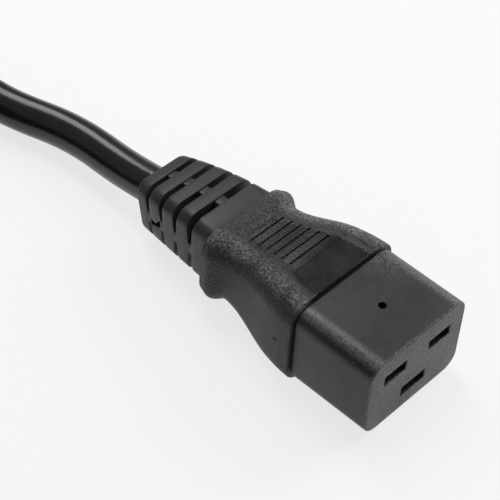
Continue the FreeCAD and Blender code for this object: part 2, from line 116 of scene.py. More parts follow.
class HeadSettings(bpy.types.PropertyGroup):
    """Sizes of the head block with the three slots."""
    width: length("Width", "Head across the slots", head_high.x - head_low.x)
    height: length("Height", "Head from bottom to top", head_high.z - head_low.z)
    depth: length("Depth", "Mating face to the grip", grip_low.y)
    corner: length("Corner", "Radius of the long corners", 3.5 * MM)
    edge: length("Front edge", "Rounding of the mating face's edge", 0.35 * MM)
    groove_width: length("Groove width", "Shadow line in front of the grip", 0.4 * MM)
    groove_depth: length("Groove depth", "Depth of the shadow line", 0.45 * MM)
    tail_inset: length("Tail inset", "Hidden tail, smaller than the head all round", 2.6 * MM)
    tail_length: length("Tail length", "Hidden tail behind the head", head_high.y - grip_low.y)
    pitch: length("Pitch", "Line slot to neutral slot", 13.0 * MM)
    pole_height: length("Upper slots", "Line and neutral above the axis", 3.6 * MM)
    earth_drop: length("Earth slot", "Earth below the axis", 4.6 * MM)
    slot_length: length("Slot length", "Long side of the line and neutral slots", 6.34 * MM)
    slot_height: length("Slot height", "Short side of the slots", 2.54 * MM)
    earth_growth: length("Earth growth", "Earth slot is this much longer", 0.7 * MM)
    slot_corner: length("Slot corner", "Radius of the slots' corners", 0.14 * MM)
    slot_lead_in: length("Slot lead-in", "Bevel round the mouth of each slot", 0.13 * MM)
    face_wall: length("Face wall", "Plastic in front of the contacts", 2.2 * MM)
    cavity_length: length("Cavity length", "Long side of a contact cavity", 7.44 * MM)
    cavity_height: length("Cavity height", "Short side of a contact cavity", 3.14 * MM)
    bay_start: length("Crimp bay", "Mating face to the crimp bays", 17.4 * MM)
    bay_height: length("Bay height", "Height of the crimp bays", 4.4 * MM)
    pin_hole: length("Pin hole", "Radius of the mould pin hole", 0.88 * MM)
    pin_hole_depth: length("Pin hole depth", "Depth of the mould pin hole", 3.0 * MM)
    pin_hole_setback: length("Pin hole place", "Mating face to the mould pin hole", 9.87 * MM)


class GripSettings(bpy.types.PropertyGroup):
    """Sizes of the soft grip behind the head."""
    rim_corner: length("Rim corner", "Corner radius at the rim", 4.7 * MM)
    rim_edge: length("Rim edge", "Rounding of the rim's front edge", 0.3 * MM)
    neck_width: length("Neck width", "Narrowest width", 21.9 * MM)
    neck_height: length("Neck height", "Least height", 15.8 * MM)
    neck_corner: length("Neck corner", "Corner radius at the neck", 4.6 * MM)
    neck_back_width: length("Neck place", "Rim to the narrowest place", 21.5 * MM)
    neck_back_height: length("Low place", "Rim to the lowest place of the top", 22.8 * MM)
    flat_top: length("Level top", "Level stretch behind the rim", 7.3 * MM)
    collar_width: length("Collar width", "Collar across", 24.9 * MM)
    collar_height: length("Collar height", "Collar from bottom to top", 18.1 * MM)
    collar_corner: length("Collar corner", "Corner radius of the collar", 4.8 * MM)
    collar_rise: length("Collar rise", "Neck to the collar's crest", 3.5 * MM)
    collar_length: length("Collar length", "Neck to the collar's back", 5.8 * MM)
    collar_edge: length("Collar edge", "Rounding of the collar's back edge", 0.45 * MM)
    fall_width: length("Back narrowing", "Collar draws in across", 0.7 * MM)
    fall_height: length("Back lowering", "Collar draws in from top and bottom", 1.2 * MM)
    inner_width: length("Core width", "Hidden block held in the collar, across", 14.6 * MM)
    inner_height: length("Core height", "Hidden block held in the collar", 11.4 * MM)
    inner_corner: length("Core corner", "Corner of the hidden block", 3.0 * MM)
    inner_gap: length("Core gap", "Hidden block to the collar's back", 5.0 * MM)
    inner_inset: length("Core inset", "Hidden block below the head's outline", 3.6 * MM)
    grooves: bpy.props.IntProperty(
        name="Grooves", description="Finger grooves on each side", default=6, min=0)
    groove_first: length("Groove place", "Rim to the last groove", 20.4 * MM)
    groove_pitch: length("Groove pitch", "Groove to groove", 2.25 * MM)
    groove_length: length("Groove length", "Length of the last groove", 9.6 * MM)
    groove_step: length("Groove step", "Each groove forward is this much longer", 0.38 * MM)
    groove_width: length("Groove width", "Width of a finger groove", 0.55 * MM)
    groove_depth: length("Groove depth", "Depth of a finger groove", 0.4 * MM)
    panel_depth: length("Panel depth", "Recess of the bare panel", 0.09 * MM)
    panel_width: length("Panel width", "Bare panel across", 18.4 * MM)
    panel_length: length("Panel length", "Bare panel along the grip", 6.6 * MM)
    panel_corner: length("Panel corner", "Corner radius of the panel", 0.5 * MM)
    nick: length("Nick", "Radius of the nick in the left side", 0.32 * MM)
    nick_place: length("Nick place", "Mating face to the nick", 23.6 * MM)


class ReliefSettings(bpy.types.PropertyGroup):
    """Sizes of the slotted strain relief."""
    length: length("Length", "Collar to the strain relief's end", 22.6 * MM)
    width: length("Width", "Width at the collar", 19.6 * MM)
    height: length("Height", "Height at the collar", 15.6 * MM)
    end_width: length("End width", "Width at the end", 15.0 * MM)
    end_height: length("End height", "Height at the end", 12.7 * MM)
    bulge_width: length("Side bulge", "Fuller across at mid-length than a straight taper", 0.6 * MM)
    bulge_height: length("Top bulge", "Fuller in height at mid-length than a straight taper", 0.2 * MM)
    corner: length("Corner", "Corner radius", 3.0 * MM)
    end_round: length("End rounding", "Rounding of the end's edge", 0.7 * MM)
    droop: turn("Droop", "How far it sags over its length", 12.0)
    slot_first: length("First slots", "Collar to the back of the first slots", 6.3 * MM)
    slot_pitch: length("Slot pitch", "Slots to slots", 4.38 * MM)
    slot_widths: bpy.props.FloatVectorProperty(
        name="Slot widths", description="Width of each row of slots", size=4, unit="LENGTH",
        default=(1.9 * MM, 1.6 * MM, 1.5 * MM, 1.5 * MM))
    slot_end: share("Slot end", "Share of its width that a slot keeps at its side end", 0.5)
    slot_taper: length("Slot taper", "Height over which a slot narrows", 6.0 * MM)
    web: length("Web", "Width of the webs between the slots", 2.4 * MM)
    web_dip: length("Web dip", "Upper and lower webs lie below the ribs", 0.4 * MM)
    skin: length("Skin", "Cover left on the cord inside the slots", 0.55 * MM)
    tear: length("Tear", "Height of the ragged split in the last rib's left web", 0.9 * MM)
    tear_depth: length("Tear depth", "Depth of the ragged split", 1.5 * MM)
    soft_edge: length("Soft edge", "Rounding of the ribs' edges", 0.42 * MM)


class CordSettings(bpy.types.PropertyGroup):
    """Sizes of the cord, its coil and the strap round the coil."""
    length: length("Length", "Free length, from strain relief to strain relief", 1.38)
    diameter: length("Diameter", "Diameter of the cord", 8.7 * MM)
    coil_middle: bpy.props.FloatVectorProperty(
        name="Coil middle", description="Middle of the coil on the floor", size=2, unit="LENGTH",
        default=(-62.6 * MM, 147.3 * MM))
    coil_radius: length("Coil radius", "Middle of the turns", 43.5 * MM)
    pitch: length("Turn pitch", "Turn to turn, sideways", 8.9 * MM)
    rise: length("Layer rise", "Layer to layer", 8.8 * MM)
    entry: turn("Entry angle", "Where the cord joins the coil", 8.0)
    leave: turn("Exit angle", "Where the cord leaves the coil", 195.0)
    full_turns: bpy.props.IntProperty(
        name="Full turns", description="Whole turns in the coil", default=4, min=1)
    climb: turn("Climb", "Part of a turn over which the cord climbs a layer", 62.0)
    strap: length("Strap", "Thickness of the strap", 0.8 * MM)
    strap_width: length("Strap width", "Width of the strap", 12.0 * MM)
    strap_edge: length("Strap edge", "Rounding of the strap's edges", 0.15 * MM)
    strap_angle: turn("Strap place", "Where the strap sits on the coil", 105.0)


class PlugSettings(bpy.types.PropertyGroup):
    """Sizes of the plug's shroud."""
    play: length("Play", "Head to shroud on each side", 0.4 * MM)
    corner: length("Corner", "Outer corner radius", 5.6 * MM)
    edge: length("Edge", "Rounding of the shroud's rim", 0.4 * MM)
    cavity: length("Recess", "Depth of the shroud's recess", 20.2 * MM)


class FinishSettings(bpy.types.PropertyGroup):
    """Colours of every finish."""
    head: tint("Head", "Moulded head and shroud", (0.0105, 0.011, 0.0125))
    # Painted glints: bright grains standing in for glints of light on the spark texture.
    spark: tint("Sparks", "Bright grains of the head's texture", (0.16, 0.16, 0.162))
    speck: tint("Specks", "Pale specks on the head", (0.30, 0.30, 0.29))
    # Painted highlight, partly wear: pale colour of the head's long corners.
    head_wear_and_highlight: tint("Worn head", "Dulled corners of the head", (0.125, 0.126, 0.13))
    grip: tint("Grip", "Grained grip", (0.0075, 0.008, 0.0088))
    # Painted highlight, partly wear: pale colour of the grip's shoulders and collar.
    worn_grip: tint("Worn grip", "Worn grain of the grip", (0.20, 0.20, 0.205))
    relief: tint("Strain relief", "Smooth soft moulding", (0.025, 0.0255, 0.027))
    cord: tint("Cord", "Sheath of the cord", (0.0100, 0.0106, 0.0118))
    strap: tint("Strap", "Hook and loop strap", (0.012, 0.012, 0.013))
    brass: tint("Brass", "Folded contacts", (0.72, 0.53, 0.26))
    nickel: tint("Nickel", "Plated blades", (0.62, 0.60, 0.56))
    copper: tint("Copper", "Strands", (0.80, 0.42, 0.26))
    premould: tint("Premould", "Hidden inner moulding", (0.42, 0.41, 0.37))
    brown: tint("Line core", "Insulation of the line core", (0.10, 0.040, 0.016))
    blue: tint("Neutral core", "Insulation of the neutral core", (0.02, 0.09, 0.36))
    green: tint("Earth core", "Insulation of the earth core", (0.07, 0.26, 0.04))
    yellow: tint("Earth stripe", "Stripe on the earth core", (0.80, 0.62, 0.04))
    floor: tint("Floor", "Pale floor", (0.93, 0.93, 0.93))


class StageSettings(bpy.types.PropertyGroup):
    """Camera and lights."""
    camera: bpy.props.FloatVectorProperty(
        name="Camera", description="Place of the camera", size=3, subtype="TRANSLATION",
        default=(-0.18047, -0.11279, 0.24907))
    yaw: turn("Yaw", "Camera's heading, from +Y towards +X", 48.97)
    pitch: turn("Pitch", "Camera's tilt below the horizon", 46.29)
    roll: turn("Roll", "Camera's roll", 4.11)
    lens: bpy.props.FloatProperty(
        name="Lens", description="Focal length in millimetres", default=121.8, min=1.0)
    ambient: bpy.props.FloatProperty(
        name="Ambient", description="Strength of the light from all round", default=0.25, min=0.0)
    floor_size: length("Floor size", "Side of the floor", 8.0)


GROUPS = {
    "connector_head": HeadSettings,
    "connector_grip": GripSettings,
    "connector_relief": ReliefSettings,
    "connector_cord": CordSettings,
    "connector_plug": PlugSettings,
    "connector_finish": FinishSettings,
    "connector_stage": StageSettings,
}


# ---- shader maths ----

class Shade:
    """A socket of a material, so that shader maths reads as plain Python."""

    def __init__(self, paint, socket):
        self.paint = paint
        self.socket = socket

    def maths(self, operation, *values):
        return self.paint.add("ShaderNodeMath", {"operation": operation}, values)

    def __add__(self, other):
        return self.maths("ADD", self, other)

    def __sub__(self, other):
        return self.maths("SUBTRACT", self, other)

    def __rsub__(self, other):
        return self.maths("SUBTRACT", other, self)

    def __mul__(self, other):
        return self.maths("MULTIPLY", self, other)

    def __truediv__(self, other):
        return self.maths("DIVIDE", self, other)

    def __lt__(self, other):
        return self.maths("LESS_THAN", self, other)

    def __gt__(self, other):
        return self.maths("GREATER_THAN", self, other)

    def __abs__(self):
        return self.maths("ABSOLUTE", self)

    __radd__ = __add__

    def sine(self):
        return self.maths("SINE", self)

    def root(self):
        return self.maths("SQRT", self)

    def limit(self):
        """Cut off at 1."""
        return self.maths("MINIMUM", self, 1.0)

    def ramp(self, low, high):
        """0 below low, 1 above high and smooth between them."""
        settings = {"interpolation_type": "SMOOTHSTEP"}
        inputs = {"Value": self, "From Min": low, "From Max": high}
        return self.paint.add("ShaderNodeMapRange", settings, inputs)


class Paint:
    """A material, built node by node."""

    def __init__(self, name):
        self.material = bpy.data.materials.new(name)
        self.material.use_nodes = True
        self.tree = self.material.node_tree
        self.tree.nodes.clear()

    def add(self, kind, settings=None, inputs=(), output=0):
        """Adds a node: its settings first, then the values or links of its sockets."""
        node = self.tree.nodes.new(kind)
        for name, value in (settings or {}).items():
            setattr(node, name, value)
        pairs = inputs.items() if isinstance(inputs, dict) else enumerate(inputs)
        for key, value in pairs:
            if isinstance(value, Shade):
                self.tree.links.new(value.socket, node.inputs[key])
            else:
                node.inputs[key].default_value = value
        return Shade(self, node.outputs[output])

    def place(self):
        """Object coordinates."""
        return self.add("ShaderNodeTexCoord", output="Object")

    def centred(self, middle):
        """Object coordinates, counted from a middle."""
        return self.add("ShaderNodeMapping", None, {"Vector": self.place(), "Location": tuple(-middle)})

    def axes(self, vector):
        """X, Y and Z of a vector."""
        split = self.add("ShaderNodeSeparateXYZ", None, {"Vector": vector})
        return [Shade(self, socket) for socket in split.socket.node.outputs]

    def noise(self, vector, size, detail=2.0, roughness=0.5):
        """Cloudy pattern whose blobs are about this size in metres, from 0 to 1."""
        return self.add("ShaderNodeTexNoise", None, {
            "Vector": vector, "Scale": 1.0 / size, "Detail": detail, "Roughness": roughness})

    def cells(self, vector, size):
        """Pebbled pattern whose cells are about this size in metres."""
        inputs = {"Vector": vector, "Scale": 1.0 / size}
        return self.add("ShaderNodeTexVoronoi", None, inputs, "Distance")

    def mix(self, factor, first, second):
        """Blend of two colours."""
        node = self.tree.nodes.new("ShaderNodeMix")
        node.data_type = "RGBA"
        for socket, value in ((node.inputs[0], factor), (node.inputs[6], first), (node.inputs[7], second)):
            if isinstance(value, Shade):
                self.tree.links.new(value.socket, socket)
            else:
                socket.default_value = value
        return Shade(self, node.outputs[2])

    def bump(self, height, depth, normal=None):
        """Relief of this depth in metres."""
        inputs = {"Height": height, "Distance": depth, "Strength": 1.0}
        if normal is not None:
            inputs["Normal"] = normal
        return self.add("ShaderNodeBump", None, inputs)

    def surface(self, **inputs):
        """Principled surface, as the material's output."""
        sockets = {name.replace("_", " "): value for name, value in inputs.items()}
        shader = self.add("ShaderNodeBsdfPrincipled", None, sockets)
        self.add_output(shader)
        return self.material

    def add_output(self, shader):
        """Joins a shader to the material's output."""
        node = self.tree.nodes.new("ShaderNodeOutputMaterial")
        self.tree.links.new(shader.socket, node.inputs["Surface"])


def opaque(colour, shade=1.0):
    """Four-part colour, made lighter or darker."""
    return tuple(channel * shade for channel in colour) + (1.0,)


# ---- finishes ----

def smooth_plastic(name, colour):
    """Moulded plastic of the head: a fine spark texture, coarser on the front and at the back right, with
    painted light: a lighter front, painted glints, painted corner highlights and painted shade in the
    hollows.
    """
    colours = bpy.context.scene.connector_finish
    paint = Paint(name)
    place = paint.place()
    x, y, z = paint.axes(place)
    smudges = paint.noise(place, 9 * MM, 3.0, 0.6)
    clouds = paint.noise(place, 2.2 * MM, 2.0)
    spark = paint.noise(place, 0.42 * MM, 3.0, 0.75)
    pits = paint.cells(place, 0.6 * MM)
    specks = paint.cells(place, 2.6 * MM) < 0.05
    front = 1.0 - y.ramp(0.15 * MM, 0.5 * MM)
    back_right = (x + y * 0.55).ramp(12 * MM, 21 * MM)
    coarse = (front + back_right * 0.7).limit()
    base = paint.mix(clouds.ramp(0.3, 0.75), opaque(colour, 0.8), opaque(colour, 1.2))
    # Painted light: the mating face is painted lighter, standing in for the bright floor it reflects and
    # the light falling on it.
    base = paint.mix(front, base, opaque(colour, 3.5))
    # Painted glints: grains painted bright where the texture is coarse, standing in for glints of light.
    base = paint.mix(spark.ramp(0.5, 0.6) * coarse, base, opaque(colours.spark))
    # Painted highlight, partly wear: the long corners painted paler where the light catches them.
    base = paint.mix(corner_wear_and_highlight(x, z) * spark.ramp(0.3, 0.6), base, opaque(colours.head_wear_and_highlight))
    base = paint.mix(specks * 0.5, base, opaque(colours.speck))
    relief = paint.bump((spark * 0.7 + pits * 0.3) * (0.15 + coarse * 0.85), 0.24 * MM)
    inside = hollow(x, y, z)
    # Painted shade: the slots, cavities and pin hole are painted almost black.
    base = paint.mix(inside, base, opaque(colour, 0.05))
    rough = 0.37 + smudges.ramp(0.3, 0.8) * 0.12 + inside * 0.45
    return paint.surface(Base_Color=base, Roughness=rough, Normal=relief, IOR=1.5)


def corner_wear_and_highlight(x, z):
    """1 on the part of each long corner nearest the top or bottom, where a painted highlight, partly wear,
    lightens the head, and 0 elsewhere.
    """
    head = bpy.context.scene.connector_head
    side = (abs(x) + (head.corner - head.width / 2)) / head.corner
    top = (abs(z) + (head.corner - head.height / 2)) / head.corner
    return side.ramp(-0.25, 0.2) * (1.0 - side.ramp(0.5, 0.85)) * top.ramp(0.4, 0.8)


def hollow(x, y, z):
    """1 inside the slots, their cavities and the pin hole, which light hardly reaches, and 0 outside."""
    head = bpy.context.scene.connector_head
    margin = 0.4 * MM
    reach_x = (head.pitch + head.cavity_length) / 2 + margin
    reach_z = head.earth_drop + head.bay_height / 2 + margin
    slots = (abs(x) < reach_x) * (abs(z) < reach_z)
    off_middle = x * x + (y - head.pin_hole_setback) * (y - head.pin_hole_setback)
    hole = (off_middle < (head.pin_hole * 1.2) ** 2) * (z < head.height / 2 - 0.2 * MM)
    return (slots + hole).limit() * y.ramp(0.3 * MM, 0.9 * MM)


def grained_grip(name, colour, middle, front_width, front_height):
    """Spark-eroded grain with painted glints, a painted highlight, partly wear, on the shoulders and the
    collar, and calm on its two flat faces.
    """
    grip = bpy.context.scene.connector_grip
    paint = Paint(name)
    x, y, z = paint.axes(paint.centred(middle))
    behind = y - grip_low.y
    rise = behind.ramp(grip.neck_back_width, grip.neck_back_width + grip.collar_rise)
    drawn_in = behind.ramp(0.0, grip.neck_back_width) * ((grip.neck_width - front_width) / 2)
    lowered = behind.ramp(grip.flat_top, grip.neck_back_height) * ((grip.neck_height - front_height) / 2)
    reach_x = drawn_in + rise * ((grip.collar_width - grip.neck_width) / 2) + front_width / 2
    reach_z = lowered + rise * ((grip.collar_height - grip.neck_height) / 2) + front_height / 2
    side = (abs(x) - reach_x) / grip.rim_corner + 1.0
    top = (abs(z) - reach_z) / grip.rim_corner + 1.0
    shoulder = side.ramp(-0.35, 0.25) * (1.0 - side.ramp(0.45, 0.95)) * top.ramp(0.3, 0.85)
    place = paint.place()
    grain = paint.noise(place, 0.5 * MM, 3.0, 0.8)
    pebbles = paint.cells(place, 0.62 * MM)
    patches = paint.noise(place, 5.0 * MM, 2.0)
    sloped = behind.ramp(grip.flat_top * 0.9, grip.flat_top * 1.8)
    calm = top.ramp(0.7, 0.95) * (1.0 - side.ramp(-0.6, 0.0)) * (1.0 - rise) * (1.0 - sloped * 0.15)
    parting = 1.0 - abs(z).ramp(0.03 * MM, 0.16 * MM)
    strength = 1.0 - calm * 0.9
    relief = paint.bump((grain * 0.65 + pebbles * 0.35) * strength, 0.42 * MM)
    relief = paint.bump(parting, 0.05 * MM, relief)
    base = paint.mix(patches.ramp(0.3, 0.7), opaque(colour, 0.75), opaque(colour, 1.25))
    # Painted glints: the grain's high spots painted lighter, standing in for glints of light.
    base = paint.mix(grain.ramp(0.56, 0.7) * strength, base, opaque(colour, 9.0))
    # Painted highlight, partly wear: the shoulders and the collar's top painted paler where the light
    # catches them.
    wear_and_highlight = (shoulder + rise * top.ramp(0.3, 1.0) * 0.25).limit() * patches.ramp(0.1, 0.6)
    pale = bpy.context.scene.connector_finish.worn_grip
    base = paint.mix(wear_and_highlight * grain.ramp(0.38, 0.62), base, opaque(pale))
    rough = 0.17 + patches.ramp(0.3, 0.75) * 0.06 + strength * 0.25
    return paint.surface(Base_Color=base, Roughness=rough, Normal=relief, IOR=1.45)


def soft_moulding(name, colour, root, sag):
    """Smooth soft plastic of the strain relief with faint flow marks, with painted shade inside its slots.
    """
    paint = Paint(name)
    relief = bpy.context.scene.connector_relief
    place = paint.place()
    x, y, z = paint.axes(paint.centred(root))
    z = z + y * y * sag
    inner = bpy.context.scene.connector_cord.diameter / 2 + relief.skin
    off_axis = (x * x + z * z).root()
    gap = (1.0 - off_axis.ramp(inner + 0.3 * MM, inner + 1.1 * MM)) * (y < relief.length - 1.5 * MM)
    flow = paint.noise(place, 3.0 * MM, 3.0, 0.55)
    fine = paint.noise(place, 0.4 * MM, 2.0)
    base = paint.mix(flow.ramp(0.3, 0.75), opaque(colour, 0.8), opaque(colour, 1.2))
    # Painted shade: the slots' floors round the cord are painted almost black.
    base = paint.mix(gap, base, opaque(colour, 0.05))
    bumps = paint.bump(fine * 0.6 + flow * 0.4, 0.03 * MM)
    rough = 0.40 + flow.ramp(0.25, 0.8) * 0.12 + gap * 0.45
    return paint.surface(Base_Color=base, Roughness=rough, Normal=bumps, IOR=1.48)


def cord_sheath(name, colour):
    """Satin extruded sheath with faint waves and fine scuffs."""
    paint = Paint(name)
    place = paint.place()
    waves = paint.noise(place, 6.0 * MM, 2.0)
    scuffs = paint.noise(place, 0.5 * MM, 3.0, 0.7)
    base = paint.mix(waves.ramp(0.3, 0.7), opaque(colour, 0.85), opaque(colour, 1.2))
    relief = paint.bump(waves * 0.85 + scuffs * 0.15, 0.06 * MM)
    rough = 0.19 + scuffs.ramp(0.4, 0.8) * 0.08
    return paint.surface(Base_Color=base, Roughness=rough, Normal=relief, IOR=1.5)


def loop_strap(name, colour):
    """Woven hook and loop strap: a fine plain weave under a nap of loops."""
    paint = Paint(name)
    place = paint.place()
    x, y, z = paint.axes(place)
    pitch = 2 * math.pi / (0.55 * MM)
    weave = (x * pitch).sine() * (y * pitch).sine() + (z * pitch).sine() * 0.5
    nap = paint.noise(place, 0.3 * MM, 4.0, 0.8)
    base = paint.mix(nap.ramp(0.35, 0.75), opaque(colour, 0.6), opaque(colour, 2.2))
    relief = paint.bump(weave * 0.4 + nap, 0.12 * MM)
    return paint.surface(Base_Color=base, Roughness=0.86, Normal=relief)


def sheet_metal(name, colour, roughness, grain_size):
    """Stamped metal with a rolled grain along the sheet and slight tarnish."""
    paint = Paint(name)
    place = paint.place()
    x, y, z = paint.axes(place)
    along = paint.add("ShaderNodeCombineXYZ", None, {"X": x, "Y": y * 0.06, "Z": z})
    rolled = paint.noise(along, grain_size, 3.0, 0.6)
    tarnish = paint.noise(place, 3.0 * MM, 3.0)
    base = paint.mix(tarnish.ramp(0.35, 0.8), opaque(colour), opaque(colour, 0.72))
    relief = paint.bump(rolled, 0.006 * MM)
    rough = roughness + rolled * 0.10 + tarnish * 0.08
    return paint.surface(Base_Color=base, Metallic=1.0, Roughness=rough, Normal=relief)


def stranded(name, colour):
    """Twisted copper strands, with painted shade in the grooves between them."""
    paint = Paint(name)
    place = paint.place()
    x, y, z = paint.axes(place)
    twist = ((x + z) * (2 * math.pi / (0.34 * MM)) + y * (2 * math.pi / (1.9 * MM))).sine()
    # Painted shade: the copper is painted darker in the grooves between the strands.
    base = paint.mix(twist.ramp(-0.7, 0.6), opaque(colour, 0.35), opaque(colour))
    return paint.surface(Base_Color=base, Metallic=1.0, Roughness=0.34, Normal=paint.bump(twist, 0.05 * MM))


def insulation(name, colour, stripe=None):
    """Coloured insulation of a core, striped along its length where asked."""
    paint = Paint(name)
    place = paint.place()
    x, y = paint.axes(place)[:2]
    clouds = paint.noise(place, 1.2 * MM, 2.0)
    base = paint.mix(clouds.ramp(0.3, 0.7), opaque(colour, 0.9), opaque(colour, 1.1))
    if stripe is not None:
        twisted = x + y * 0.12
        band = twisted.maths("PINGPONG", twisted, 0.7 * MM) > 0.42 * MM
        base = paint.mix(band, base, opaque(stripe))
    return paint.surface(Base_Color=base, Roughness=0.42, Normal=paint.bump(clouds, 0.02 * MM))


def natural_plastic(name, colour):
    """Unpigmented inner moulding with sink marks."""
    paint = Paint(name)
    place = paint.place()
    sinks = paint.noise(place, 2.5 * MM, 2.0)
    base = paint.mix(sinks, opaque(colour, 0.85), opaque(colour, 1.05))
    return paint.surface(Base_Color=base, Roughness=0.5, Normal=paint.bump(sinks, 0.08 * MM))


def pale_floor(name, colour):
    """Plain pale floor, which shows as white and keeps a part of each shadow."""
    paint = Paint(name)
    cloth = paint.add("ShaderNodeBsdfDiffuse", None, {"Color": opaque(colour)})
    glow = paint.add("ShaderNodeEmission", None, {"Color": opaque(colour, 1.07), "Strength": 1.0})
    seen = paint.add("ShaderNodeLightPath", output="Is Camera Ray")
    mirrored = paint.add("ShaderNodeLightPath", output="Is Glossy Ray")
    through = paint.add("ShaderNodeLightPath", output="Is Transmission Ray")
    glow_share = (seen + mirrored + through).limit() * 0.75
    paint.add_output(paint.add("ShaderNodeMixShader", None, {0: glow_share, 1: cloth, 2: glow}))
    return paint.material


# ---- mesh work ----

def blend(share_done):
    """Smooth step from 0 to 1."""
    return (1.0 - math.cos(math.pi * min(max(share_done, 0.0), 1.0))) / 2


def at(y, x=0.0, z=0.0):
    """Place on the connector's axis or beside it."""
    return Matrix.Translation((x, y, z))


def ring(bm, place, width, height, corner):
    """Loop of edges round a rounded rectangle across the axis, in this place."""
    flat = bmesh.ops.create_grid(bm, x_segments=1, y_segments=1, size=0.5)["verts"]
    bmesh.ops.scale(bm, vec=(width, height, 1.0), verts=flat)
    verts = bmesh.ops.bevel(
        bm, geom=flat, offset=corner, offset_type="OFFSET", segments=CORNER_STEPS, profile=0.5,
        affect="VERTICES", material=-1)["verts"]
    bmesh.ops.transform(bm, matrix=place @ UPRIGHT, verts=verts)
    bmesh.ops.delete(bm, geom=verts[0].link_faces[:], context="FACES_ONLY")
    return list({edge for vert in verts for edge in vert.link_edges})


def loft(bm, rings, closed=False):
    """Skin over a row of rings, capped at its ends or closed on itself."""
    following = rings[1:] + rings[:1] if closed else rings[1:]
    for near, far in zip(rings, following):
        bmesh.ops.bridge_loops(bm, edges=near + far)
    if not closed:
        for end in (rings[0], rings[-1]):
            bmesh.ops.edgeloop_fill(bm, edges=end)


def round_off(bm, edges, radius):
    """Rounds these edges."""
    bmesh.ops.bevel(
        bm, geom=edges, offset=radius, offset_type="OFFSET", segments=ROUND_STEPS, profile=0.5,
        affect="EDGES", material=-1)


def as_piece(bm, name):
    """Object with the bmesh's shape, with its faces pointing outwards."""
    bmesh.ops.remove_doubles(bm, verts=bm.verts, dist=MERGE)
    bmesh.ops.recalc_face_normals(bm, faces=bm.faces)
    mesh = bpy.data.meshes.new(name)
    bm.to_mesh(mesh)
    bm.free()
    piece = bpy.data.objects.new(name, mesh)
    bpy.context.scene.collection.objects.link(piece)
    return piece


def settle(piece):
    """Applies a piece's modifiers to its mesh."""
    bpy.context.view_layer.update()
    solved = piece.evaluated_get(bpy.context.evaluated_depsgraph_get())
    mesh = bpy.data.meshes.new_from_object(solved)
    piece.modifiers.clear()
    old, piece.data = piece.data, mesh
    bpy.data.meshes.remove(old)


def carve(piece, bm):
    """Cuts the closed shapes of a bmesh out of a piece."""
    tool = as_piece(bm, piece.name + "_tool")
    cut = piece.modifiers.new("Cut", "BOOLEAN")
    cut.operation = "DIFFERENCE"
    cut.solver = "EXACT"
    cut.use_self = True
    cut.object = tool
    settle(piece)
    tool_mesh = tool.data
    bpy.data.objects.remove(tool)
    bpy.data.meshes.remove(tool_mesh)


def soften(piece, radius):
    """Rounds the sharp edges of a piece, once its shortest edges are gone."""
    bm = bmesh.new()
    bm.from_mesh(piece.data)
    bmesh.ops.remove_doubles(bm, verts=bm.verts, dist=radius / 5)
    bm.to_mesh(piece.data)
    bm.free()
    edge = piece.modifiers.new("Soft edges", "BEVEL")
    edge.width = radius
    edge.segments = 2
    edge.limit_method = "ANGLE"
    edge.angle_limit = SOFTENED
    edge.miter_outer = "MITER_ARC"
    edge.use_clamp_overlap = True
    settle(piece)


def finish(piece, material, nodes):
    """Shades a piece, gives it its finish and puts it in place of its nodes."""
    piece.data.shade_smooth()
    piece.data.set_sharp_from_angle(angle=CRISP)
    piece.data.materials.clear()
    piece.data.materials.append(material)
    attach(piece, "root")
    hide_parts(*nodes)
    return piece


class Finish:
    """Materials by name, each made when it is first asked for."""
    made = {}

    @classmethod
    def get(cls, name, build, *values):
        if name not in cls.made:
            cls.made[name] = build(name, *values)
        return cls.made[name]


def plastic():
    """Finish of the head and the shroud."""
    return Finish.get("head_plastic", smooth_plastic, bpy.context.scene.connector_finish.head)


def sheath_finish():
    """Finish of the cord and of its two ends inside the mouldings."""
    return Finish.get("cord_sheath", cord_sheath, bpy.context.scene.connector_finish.cord)


# ---- the two ends ----

class End:
    """One end of the lead: where it is, and what differs between the connector and the plug."""

    def __init__(self, prefix, place, front_width, front_height, droop, torn):
        self.prefix = prefix
        self.place = place
        self.front_width = front_width
        self.front_height = front_height
        self.droop = droop
        self.torn = torn


def ends():
    """The connector, and the plug at the far end."""
    droop = bpy.context.scene.connector_relief.droop
    plug = at(
        plug_grip_low.y - grip_low.y, (shroud_low.x + shroud_high.x) / 2,
        (shroud_low.z + shroud_high.z) / 2)
    rim = grip_high - grip_low
    plug_rim = plug_grip_high - plug_grip_low
    shroud = shroud_high - shroud_low
    step = rim.x - (head_high.x - head_low.x)
    return [
        End("", Matrix.Identity(4), rim.x, rim.z, droop, True),
        End("plug_", plug, plug_rim.x, shroud.z + step, 0.0, False),
    ]


def pole_places():
    """Name and place across the head of each pole."""
    head = bpy.context.scene.connector_head
    return {
        "line": (-head.pitch / 2, head.pole_height),
        "neutral": (head.pitch / 2, head.pole_height),
        "earth": (0.0, -head.earth_drop),
    }


def head_block(context):
    """Head with its slots, contact cavities, pin hole and hidden tail."""
    head = context.scene.connector_head
    bm = bmesh.new()
    groove = head.depth - head.groove_width
    sunk = 2 * head.groove_depth
    tail = 2 * head.tail_inset
    front = ring(bm, at(0.0), head.width, head.height, head.corner)
    floor = (head.width - sunk, head.height - sunk, head.corner - head.groove_depth)
    behind = (head.width - tail, head.height - tail, head.corner)
    loft(bm, [
        front,
        ring(bm, at(groove), head.width, head.height, head.corner),
        ring(bm, at(groove + DRAFT), *floor),
        ring(bm, at(head.depth - DRAFT), *floor),
        ring(bm, at(head.depth), *behind),
        ring(bm, at(head.depth + head.tail_length), *behind),
    ])
    round_off(bm, front, head.edge)
    piece = as_piece(bm, "head_block")
    carve(piece, slot_cutters(head))
    return finish(piece, plastic(), ["front_housing"])


